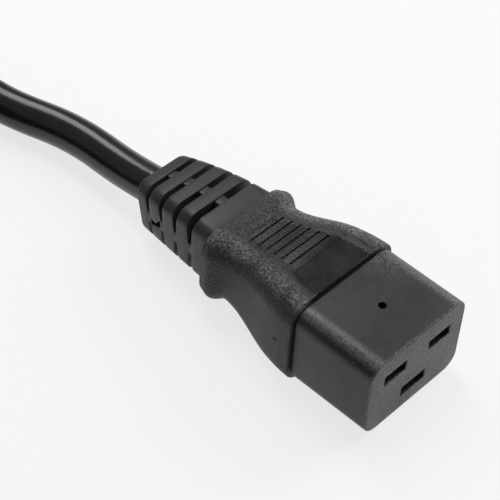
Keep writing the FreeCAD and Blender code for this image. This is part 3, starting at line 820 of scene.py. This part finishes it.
def slot_cutters(head):
    """Slots with their lead-in, the cavities behind them, the crimp bays and the pin hole."""
    bm = bmesh.new()
    for name, (x, z) in pole_places().items():
        long_side = head.slot_length + (head.earth_growth if name == "earth" else 0.0)
        mouth = 2 * head.slot_lead_in
        flared = (long_side + mouth, head.slot_height + mouth, head.slot_corner + head.slot_lead_in)
        straight = (long_side, head.slot_height, head.slot_corner)
        cavity = (head.cavity_length, head.cavity_height, head.slot_corner)
        bay = (head.cavity_length, head.bay_height, head.slot_corner)
        stations = [
            (-MM, flared), (0.0, flared), (head.slot_lead_in, straight), (head.face_wall, straight),
            (head.face_wall + DRAFT, cavity), (head.bay_start, cavity), (head.bay_start + DRAFT, bay),
            (head.depth + head.tail_length + MM, bay),
        ]
        loft(bm, [ring(bm, at(y, x, z), *section) for y, section in stations])
    top = at(head.pin_hole_setback, z=head.height / 2)
    bmesh.ops.create_cone(
        bm, cap_ends=True, segments=HOLE_STEPS, radius1=head.pin_hole, radius2=head.pin_hole,
        depth=2 * head.pin_hole_depth, matrix=top)
    return bm


def grip_width(grip, y, front):
    """Outer width of the grip, a distance behind its rim."""
    narrowing = front + (grip.neck_width - front) * blend(y / grip.neck_back_width)
    widening = (grip.collar_width - grip.neck_width) * collar_rise(grip, y)
    return narrowing + widening - grip.fall_width * collar_fall(grip, y)


def grip_height(grip, y, front):
    """Outer height of the grip, a distance behind its rim."""
    fall = blend((y - grip.flat_top) / (grip.neck_back_height - grip.flat_top))
    falling = front + (grip.neck_height - front) * fall
    rising = (grip.collar_height - grip.neck_height) * collar_rise(grip, y)
    return falling + rising - grip.fall_height * collar_fall(grip, y)


def grip_corner(grip, y):
    """Corner radius of the grip, a distance behind its rim."""
    rim = grip.rim_corner
    forward = rim + (grip.neck_corner - rim) * blend(y / grip.neck_back_width)
    return forward + (grip.collar_corner - grip.neck_corner) * collar_rise(grip, y)


def collar_rise(grip, y):
    """How far the collar has risen, from 0 to 1."""
    return blend((y - grip.neck_back_width) / grip.collar_rise)


def collar_fall(grip, y):
    """How far the collar has drawn in towards its back, from 0 to 1."""
    past_crest = y - grip.neck_back_width - grip.collar_rise
    return blend(past_crest / (grip.collar_length - grip.collar_rise))


def grip_shell(context, end):
    """Grip from its rim to the back of its collar, hollow round what it holds."""
    grip, head = context.scene.connector_grip, context.scene.connector_head
    total = grip.neck_back_width + grip.collar_length
    start = head.depth
    bm = bmesh.new()
    stations = 54
    outer = []
    for index in range(stations + 1):
        y = total * index / stations
        outer.append(ring(
            bm, end.place @ at(start + y), grip_width(grip, y, end.front_width),
            grip_height(grip, y, end.front_height), grip_corner(grip, y)))
    held = (grip.inner_width, grip.inner_height, grip.inner_corner)
    cored = (head.width - 2 * grip.inner_inset, head.height - 2 * grip.inner_inset, grip.inner_corner)
    tail = (head.width - 2 * head.tail_inset, head.height - 2 * head.tail_inset, head.corner)
    inner = [
        (start + total - DRAFT, held), (start + total - grip.inner_gap, held),
        (start + head.tail_length, cored), (start + head.tail_length - DRAFT, tail), (start + DRAFT, tail),
    ]
    loft(bm, outer + [ring(bm, end.place @ at(y), *section) for y, section in inner], closed=True)
    round_off(bm, outer[0], grip.rim_edge)
    round_off(bm, outer[-1], grip.collar_edge)
    piece = as_piece(bm, end.prefix + "grip_shell")
    carve(piece, grip_cutters(context, end))
    colour = context.scene.connector_finish.grip
    material = Finish.get(
        end.prefix + "grip_grain", grained_grip, colour, end.place.translation, end.front_width,
        end.front_height)
    node = "plug_grip" if end.prefix else "rear_grip"
    return finish(piece, material, [node])


def grip_cutters(context, end):
    """Finger grooves top and bottom, the bare panel's recess and the nick."""
    grip, head = context.scene.connector_grip, context.scene.connector_head
    bm = bmesh.new()
    nick_stretch = 1.9
    for side in (-1, 1):
        for index in range(grip.grooves):
            y = grip.groove_first - index * grip.groove_pitch
            long_side = grip.groove_length + index * grip.groove_step
            surface = grip_height(grip, y, end.front_height) / 2
            sink(bm, end.place @ at(head.depth + y), side, surface - grip.groove_depth, surface + CLEAR,
                 long_side, grip.groove_width, grip.groove_width * FULL_ROUND)
        middle = (grip.panel_length + grip.rim_edge) / 2 + grip.rim_edge
        surface = end.front_height / 2
        sink(bm, end.place @ at(head.depth + middle), side, surface - grip.panel_depth, surface + CLEAR,
             grip.panel_width, grip.panel_length, grip.panel_corner)
    if end.torn:
        flank = grip_width(grip, grip.nick_place - head.depth, end.front_width) / 2
        spot = at(grip.nick_place, -flank) @ Matrix.Scale(nick_stretch, 4, (0.0, 1.0, 0.0))
        bmesh.ops.create_icosphere(bm, subdivisions=2, radius=grip.nick, matrix=spot)
    return bm


def sink(bm, place, side, low, high, long_side, short_side, corner):
    """Upright cutter with a rounded outline, for a recess in the top or the bottom."""
    rings = [
        ring(bm, place @ at(0.0, z=side * level) @ LYING, long_side, short_side, corner)
        for level in (low, high)]
    loft(bm, rings)


def relief_place(relief, end, distance):
    """Place on the strain relief's axis, a distance behind the collar, sagging along an arc."""
    grip = bpy.context.scene.connector_grip
    root = end.place @ at(grip_low.y + grip.neck_back_width + grip.collar_length)
    if end.droop == 0.0:
        return root @ at(distance)
    bend = relief.length / end.droop
    angle = distance / bend
    spot = Matrix.Translation((0.0, bend * math.sin(angle), -bend * (1.0 - math.cos(angle))))
    return root @ spot @ Matrix.Rotation(-angle, 4, "X")


def relief_section(relief, distance, inset=0.0):
    """Width, height and corner of the strain relief, a distance behind the collar."""
    done = distance / relief.length
    bulge = 4 * done * (1.0 - done)
    width = relief.width + (relief.end_width - relief.width) * done + relief.bulge_width * bulge
    height = relief.height + (relief.end_height - relief.height) * done + relief.bulge_height * bulge
    return width - 2 * inset, height - 2 * inset, relief.corner - inset


def relief_sleeve(context, end):
    """Slotted strain relief with its root in the collar and the cord's bore."""
    relief, grip = context.scene.connector_relief, context.scene.connector_grip
    diameter = context.scene.connector_cord.diameter
    bm = bmesh.new()
    held = (grip.inner_width, grip.inner_height, grip.inner_corner)
    bore = (diameter, diameter, diameter * FULL_ROUND)
    rings = [ring(bm, relief_place(relief, end, place), *held) for place in (-grip.inner_gap, -DRAFT)]
    stations = 12
    straight = relief.length - relief.end_round
    for index in range(stations + 1):
        distance = straight * index / stations
        rings.append(ring(bm, relief_place(relief, end, distance), *relief_section(relief, distance)))
    for step in range(1, ROUND_STEPS + 1):
        angle = math.radians(90.0) * step / ROUND_STEPS
        distance = straight + relief.end_round * math.sin(angle)
        inset = relief.end_round * (1.0 - math.cos(angle))
        section = relief_section(relief, distance, inset)
        rings.append(ring(bm, relief_place(relief, end, distance), *section))
    inner_length = relief.length - DRAFT
    for index in range(stations, -1, -1):
        rings.append(ring(bm, relief_place(relief, end, inner_length * index / stations), *bore))
    rings.append(ring(bm, relief_place(relief, end, DRAFT - grip.inner_gap), *bore))
    loft(bm, rings, closed=True)
    piece = as_piece(bm, end.prefix + "relief_sleeve")
    carve(piece, relief_cutters(context, end))
    soften(piece, relief.soft_edge)
    root = relief_place(relief, end, 0.0).translation
    colour = context.scene.connector_finish.relief
    material = Finish.get(
        end.prefix + "relief_rubber", soft_moulding, colour, root, end.droop / relief.length / 2)
    return finish(piece, material, [end.prefix + "strain_relief"])


def relief_cutters(context, end):
    """Four slots in each row, narrowing towards the side webs, the dips in the webs, and the tear."""
    relief = context.scene.connector_relief
    overlap = 0.2 * MM
    whole = bmesh.new()
    for row, width in enumerate(relief.slot_widths):
        middle = relief.slot_first + row * relief.slot_pitch - width / 2
        place = relief_place(relief, end, middle)
        for across in (-1, 1):
            for up in (-1, 1):
                slot = slot_cutter(context, width)
                mirror = Matrix.Scale(across, 4, (1.0, 0.0, 0.0)) @ Matrix.Scale(up, 4, (0.0, 0.0, 1.0))
                bmesh.ops.transform(slot, matrix=place @ mirror, verts=slot.verts)
                absorb(whole, slot)
        crest = relief_section(relief, middle)[1] / 2
        for side in (-1, 1):
            sink(whole, place, side, crest - relief.web_dip, crest + CLEAR,
                 relief.web + overlap, width, overlap / 4)
    if end.torn:
        absorb(whole, tear_cutter(relief, end))
    return whole


def tear_cutter(relief, end):
    """Ragged split across the last rib's left web, between two rows of slots."""
    row = len(relief.slot_widths) - 1
    back = relief.slot_first + row * relief.slot_pitch - relief.slot_widths[row]
    front = back - relief.slot_pitch + relief.slot_widths[row]
    half = (back - front) / 2
    low, high = -(relief.web + relief.tear) / 2, relief.tear - relief.web / 2
    flank = relief_section(relief, back)[0] / 2
    edge = 0.2 * MM
    outline = [
        (half + edge, low), (half + edge, 0.4 * high), (0.0, 0.3 * low), (-half - edge, relief.web / 2),
        (-half - edge, 0.5 * low), (0.0, 0.8 * low)]
    bm = bmesh.new()
    face = bm.faces.new([bm.verts.new((-flank - relief.tear_depth, y, z)) for y, z in outline])
    pulled = bmesh.ops.extrude_face_region(bm, geom=[face])["geom"]
    far = [item for item in pulled if isinstance(item, bmesh.types.BMVert)]
    bmesh.ops.translate(bm, vec=(2 * relief.tear_depth, 0.0, 0.0), verts=far)
    bmesh.ops.transform(bm, matrix=relief_place(relief, end, front + half), verts=bm.verts)
    return bm


def absorb(whole, part):
    """Adds one bmesh to another."""
    bmesh.ops.recalc_face_normals(part, faces=part.faces)
    mesh = bpy.data.meshes.new("part")
    part.to_mesh(mesh)
    part.free()
    whole.from_mesh(mesh)
    bpy.data.meshes.remove(mesh)


def slot_cutter(context, width):
    """One quarter of a slot row, on the side of +X and +Z."""
    relief = context.scene.connector_relief
    inner = context.scene.connector_cord.diameter / 2 + relief.skin
    reach = relief.width
    bm = bmesh.new()
    corners = [bm.verts.new((radius, y, 0.0)) for radius, y in (
        (inner, -width / 2), (reach, -width / 2), (reach, width / 2), (inner, width / 2))]
    face = bm.faces.new(corners)
    bmesh.ops.spin(
        bm, geom=[face, *face.edges, *face.verts], cent=(0.0, 0.0, 0.0), axis=(0.0, -1.0, 0.0),
        angle=math.radians(90.0), steps=ARC_STEPS, use_merge=False)
    bmesh.ops.recalc_face_normals(bm, faces=bm.faces)
    web = relief.web / 2
    trim(bm, (web, 0.0, 0.0), (-1.0, 0.0, 0.0))
    trim(bm, (0.0, 0.0, web), (0.0, 0.0, -1.0))
    lost = width * (1.0 - relief.slot_end) / 2
    for side in (-1, 1):
        normal = Vector((0.0, side * relief.slot_taper, -lost)).normalized()
        trim(bm, (0.0, side * (width / 2 - lost), web), normal)
    return bm


def trim(bm, point, outwards):
    """Cuts a closed shape off at a plane and closes it again."""
    cut = bmesh.ops.bisect_plane(
        bm, geom=[*bm.verts, *bm.edges, *bm.faces], dist=1e-9, plane_co=point, plane_no=outwards,
        clear_outer=True)["geom_cut"]
    rim = [item for item in cut if isinstance(item, bmesh.types.BMEdge)]
    bmesh.ops.holes_fill(bm, edges=rim, sides=0)


# ---- plug ----

def shroud_body(context, end):
    """Shroud of the plug round its recess, with its base and hidden tail."""
    head, plug = context.scene.connector_head, context.scene.connector_plug
    front = shroud_low.y - end.place.translation.y
    recess = (head.width + 2 * plug.play, head.height + 2 * plug.play, head.corner + plug.play)
    outside = (shroud_high.x - shroud_low.x, shroud_high.z - shroud_low.z, plug.corner)
    tail = (head.width - 2 * head.tail_inset, head.height - 2 * head.tail_inset, head.corner)
    bm = bmesh.new()
    inner_rim = ring(bm, end.place @ at(front + DRAFT), *recess)
    outer_rim = ring(bm, end.place @ at(front), *outside)
    floor = ring(bm, end.place @ at(front + plug.cavity), *recess)
    loft(bm, [
        floor, inner_rim, outer_rim,
        ring(bm, end.place @ at(head.depth - DRAFT), *outside),
        ring(bm, end.place @ at(head.depth), *tail),
        ring(bm, end.place @ at(head.depth + head.tail_length), *tail),
    ])
    round_off(bm, outer_rim, plug.edge)
    round_off(bm, inner_rim, plug.edge / 2)
    round_off(bm, floor, plug.edge / 2)
    piece = as_piece(bm, "plug_shroud_body")
    return finish(piece, plastic(), ["plug_shroud"])


# ---- cord ----

def cord_route(cord):
    """Points that steer the cord's curve: to the coil, round it and on to the plug."""
    lead = [(0.0, 0.069435, -0.002358), (0.0, 0.079217, -0.004437), (0.00085, 0.0982, -0.0056),
            (-0.003929, 0.114648, -0.0063), (-0.005181, 0.12356, -0.00565)]
    tail = [(-0.106178, 0.103012, 0.00315), (-0.103745, 0.093932, 0.00315),
            (-0.102545, 0.084632, 0.0026), (-0.102545, 0.075232, 0.0026)]
    return lead + coil_points(cord) + tail


def coil_turns(cord):
    """Number of turns in the coil, with its last part of a turn."""
    return cord.full_turns + (cord.leave - cord.entry) / (2 * math.pi)


def coil_points(cord):
    """Turns of the coil: inwards on the floor, up at the inside and outwards on top."""
    turns = coil_turns(cord)
    inner = cord.coil_radius - cord.pitch * turns / 4
    step = math.radians(20.0)
    swell = 1.0 / (0.75 + 0.25 * math.cos(step))   # a curve of order 3 runs inside its points
    low = cad_box[0][2] + cord.strap + cord.diameter / 2
    middle_x, middle_y = cord.coil_middle
    count = round(turns * 2 * math.pi / step)
    half = turns / 2
    points = []
    for index in range(1, count):
        done = turns * index / count
        radius = inner + cord.pitch * abs(done - half)
        climbed = blend((done - half) * 2 * math.pi / cord.climb + 0.5)
        angle = cord.entry + done * 2 * math.pi
        if abs(done - half) * 2 * math.pi < cord.climb / 2:
            radius = inner + cord.pitch * (cord.climb / 2) / (2 * math.pi)
        points.append((
            middle_x + swell * radius * math.cos(angle),
            middle_y + swell * radius * math.sin(angle),
            low + cord.rise * climbed))
    return points


def smooth_line(name, points, thickness):
    """Round bar of this thickness along one smooth open curve."""
    curve = bpy.data.curves.new(name, "CURVE")
    curve.dimensions = "3D"
    curve.resolution_u = 6
    curve.bevel_depth = thickness / 2
    curve.bevel_resolution = 10
    curve.use_fill_caps = True
    line = curve.splines.new("NURBS")
    line.points.add(len(points) - 1)
    for spot, point in zip(line.points, points):
        spot.co = (*point, 1.0)
    line.order_u = 3
    line.use_endpoint_u = True
    piece = bpy.data.objects.new(name, curve)
    bpy.context.scene.collection.objects.link(piece)
    return piece


def strap_loop(context):
    """Strap round the turns, a plain closed band."""
    cord = context.scene.connector_cord
    bundle = cord.pitch * coil_turns(cord) / 2 + cord.diameter
    height = cord.rise + cord.diameter
    low = cad_box[0][2] + cord.strap
    spot = Matrix.Rotation(cord.strap_angle + cord.strap_width / 2 / cord.coil_radius, 4, "Z")
    place = Matrix.Translation((*cord.coil_middle, 0.0)) @ spot
    place = place @ Matrix.Translation((cord.coil_radius, 0.0, low + height / 2))
    bm = bmesh.new()
    half = cord.strap_width / 2
    walls = 2 * cord.strap * STRAP_SHARE
    inside = (bundle, height, cord.diameter / 2)
    outside = (bundle + walls, height + walls, cord.diameter / 2 + cord.strap * STRAP_SHARE)
    loft(bm, [ring(bm, place @ at(y), *section) for y, section in (
        (DRAFT - half, inside), (-half, outside), (half, outside), (half - DRAFT, inside))], closed=True)
    piece = as_piece(bm, "strap_loop")
    soften(piece, cord.strap_edge)
    material = Finish.get("loop_strap", loop_strap, context.scene.connector_finish.strap)
    return finish(piece, material, ["cord_tie"])


# ---- operators ----

class CONNECTOR_OT_cord(bpy.types.Operator):
    """Cord from the connector through its coil to the plug"""
    bl_idname = "connector.cord"
    bl_label = "Cord"

    def execute(self, context):
        cord = context.scene.connector_cord
        points = cord_route(cord)
        piece = smooth_line("cord", points, cord.diameter)
        piece.data.materials.append(sheath_finish())
        strap = strap_loop(context)
        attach(piece, "root")
        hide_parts("cord_lead", "cord_coil", "cord_tail")
        plug_pieces()
        return {"FINISHED"}


def plug_pieces():
    """Every piece of the plug: the modelled ones and the nodes that stay as they are."""
    names = ("plug_shroud_body", "plug_grip_shell", "plug_relief_sleeve")
    modelled = [bpy.data.objects[name] for name in names]
    kept = ["plug_premould", "plug_sheath"]
    kept += [f"plug_{kind}_{pole}" for kind in ("pin", "core", "conductor") for pole in POLES]
    return modelled + [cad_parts[name] for name in kept]


class CONNECTOR_OT_head(bpy.types.Operator):
    """Head block with its three slots"""
    bl_idname = "connector.head"
    bl_label = "Head"

    def execute(self, context):
        head_block(context)
        return {"FINISHED"}


class CONNECTOR_OT_grips(bpy.types.Operator):
    """Soft grip of the connector and of the plug"""
    bl_idname = "connector.grips"
    bl_label = "Grips"

    def execute(self, context):
        for end in ends():
            grip_shell(context, end)
        return {"FINISHED"}


class CONNECTOR_OT_reliefs(bpy.types.Operator):
    """Slotted strain relief of the connector and of the plug"""
    bl_idname = "connector.reliefs"
    bl_label = "Strain Reliefs"

    def execute(self, context):
        for end in ends():
            relief_sleeve(context, end)
        return {"FINISHED"}


class CONNECTOR_OT_shroud(bpy.types.Operator):
    """Shroud of the plug"""
    bl_idname = "connector.shroud"
    bl_label = "Plug Shroud"

    def execute(self, context):
        shroud_body(context, ends()[1])
        return {"FINISHED"}


class CONNECTOR_OT_inner(bpy.types.Operator):
    """Finishes of the contacts, blades, cores and other pieces held inside"""
    bl_idname = "connector.inner"
    bl_label = "Inner Pieces"

    def execute(self, context):
        colours = context.scene.connector_finish
        cores = {
            "line": Finish.get("core_brown", insulation, colours.brown),
            "neutral": Finish.get("core_blue", insulation, colours.blue),
            "earth": Finish.get("core_green_yellow", insulation, colours.green, colours.yellow),
        }
        strands = Finish.get("copper_strands", stranded, colours.copper)
        brass = Finish.get("brass_sheet", sheet_metal, colours.brass, 0.28, 0.12 * MM)
        nickel = Finish.get("nickel_blade", sheet_metal, colours.nickel, 0.22, 0.10 * MM)
        hidden = Finish.get("premould_plastic", natural_plastic, colours.premould)
        for pole in POLES:
            dress("contact_" + pole, brass)
            dress("plug_pin_" + pole, nickel)
            for prefix in ("", "plug_"):
                dress(prefix + "core_" + pole, cores[pole])
                dress(prefix + "conductor_" + pole, strands)
        for prefix in ("", "plug_"):
            dress(prefix + "premould", hidden)
            dress(prefix + "sheath", sheath_finish())
        return {"FINISHED"}


def dress(node, material):
    """Gives a node of the frame its finish."""
    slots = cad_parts[node].data.materials
    slots.clear()
    slots.append(material)


class CONNECTOR_OT_stage(bpy.types.Operator):
    """Pale floor, soft lights and the camera"""
    bl_idname = "connector.stage"
    bl_label = "Stage"

    def execute(self, context):
        stage = context.scene.connector_stage
        add_floor(context, stage)
        add_lights(context)
        add_world(context, stage)
        add_camera(context, stage)
        context.scene.view_settings.view_transform = "Standard"
        return {"FINISHED"}


def add_floor(context, stage):
    """Pale floor under the part."""
    bm = bmesh.new()
    bmesh.ops.create_grid(bm, x_segments=1, y_segments=1, size=stage.floor_size / 2)
    bmesh.ops.translate(bm, vec=(0.0, 0.0, cad_box[0][2]), verts=bm.verts)
    mesh = bpy.data.meshes.new("floor")
    bm.to_mesh(mesh)
    bm.free()
    mesh.materials.append(pale_floor("floor_paint", context.scene.connector_finish.floor))
    floor = bpy.data.objects.new("floor", mesh)
    context.scene.collection.objects.link(floor)


def add_lights(context):
    """Soft boxes: one overhead and a little behind, and one on the right."""
    target = Vector((-0.01, 0.03, 0.0))
    boxes = [
        ("top_box", (0.26, 0.62, 0.95), (0.42, 0.95), 5.8),
        ("right_box", (0.90, -0.10, 0.55), (0.6, 0.6), 6.0),
    ]
    for name, place, (wide, high), power in boxes:
        lamp = bpy.data.lights.new(name, "AREA")
        lamp.shape = "RECTANGLE"
        lamp.size = wide
        lamp.size_y = high
        lamp.energy = power
        holder = bpy.data.objects.new(name, lamp)
        context.scene.collection.objects.link(holder)
        holder.location = place
        holder.rotation_euler = (target - Vector(place)).to_track_quat("-Z", "Y").to_euler()


def add_world(context, stage):
    """Even light from all round."""
    world = bpy.data.worlds.new("studio")
    world.use_nodes = True
    tree = world.node_tree
    tree.nodes.clear()
    sky = tree.nodes.new("ShaderNodeBackground")
    sky.inputs["Color"].default_value = (1.0, 1.0, 1.0, 1.0)
    sky.inputs["Strength"].default_value = stage.ambient
    out = tree.nodes.new("ShaderNodeOutputWorld")
    tree.links.new(sky.outputs[0], out.inputs["Surface"])
    context.scene.world = world


def add_camera(context, stage):
    """Camera looking down on the connector from its front left."""
    data = bpy.data.cameras.new("camera")
    data.lens = stage.lens
    data.clip_start = 0.01
    data.clip_end = 20.0
    ahead = Vector((
        math.sin(stage.yaw) * math.cos(stage.pitch), math.cos(stage.yaw) * math.cos(stage.pitch),
        -math.sin(stage.pitch)))
    right = Vector((math.cos(stage.yaw), -math.sin(stage.yaw), 0.0))
    up = right.cross(ahead)
    rolled_right = math.cos(stage.roll) * right + math.sin(stage.roll) * up
    rolled_up = math.cos(stage.roll) * up - math.sin(stage.roll) * right
    camera = bpy.data.objects.new("camera", data)
    context.scene.collection.objects.link(camera)
    facing = Matrix((rolled_right, rolled_up, -ahead)).transposed().to_4x4()
    camera.matrix_world = Matrix.Translation(stage.camera) @ facing
    context.scene.camera = camera


OPERATORS = (
    CONNECTOR_OT_stage,
    CONNECTOR_OT_head,
    CONNECTOR_OT_grips,
    CONNECTOR_OT_reliefs,
    CONNECTOR_OT_shroud,
    CONNECTOR_OT_inner,
    CONNECTOR_OT_cord,
)


class CONNECTOR_PT_panel(bpy.types.Panel):
    """Steps that dress the connector"""
    bl_idname = "CONNECTOR_PT_panel"
    bl_label = "Connector"
    bl_space_type = "VIEW_3D"
    bl_region_type = "UI"
    bl_category = "Connector"

    def draw(self, context):
        for operator in OPERATORS:
            self.layout.operator(operator.bl_idname)


CLASSES = (*GROUPS.values(), *OPERATORS, CONNECTOR_PT_panel)


def register():
    """Adds the classes, and the settings of each group to the scene."""
    for one in CLASSES:
        bpy.utils.register_class(one)
    for name, group in GROUPS.items():
        setattr(bpy.types.Scene, name, bpy.props.PointerProperty(type=group))


def unregister():
    """Takes the settings and the classes away again."""
    for name in GROUPS:
        delattr(bpy.types.Scene, name)
    for one in reversed(CLASSES):
        bpy.utils.unregister_class(one)


def main():
    """Runs every step in order."""
    register()
    for operator in OPERATORS:
        group, step = operator.bl_idname.split(".")
        getattr(getattr(bpy.ops, group), step)()


if __name__ == "__main__":
    main()
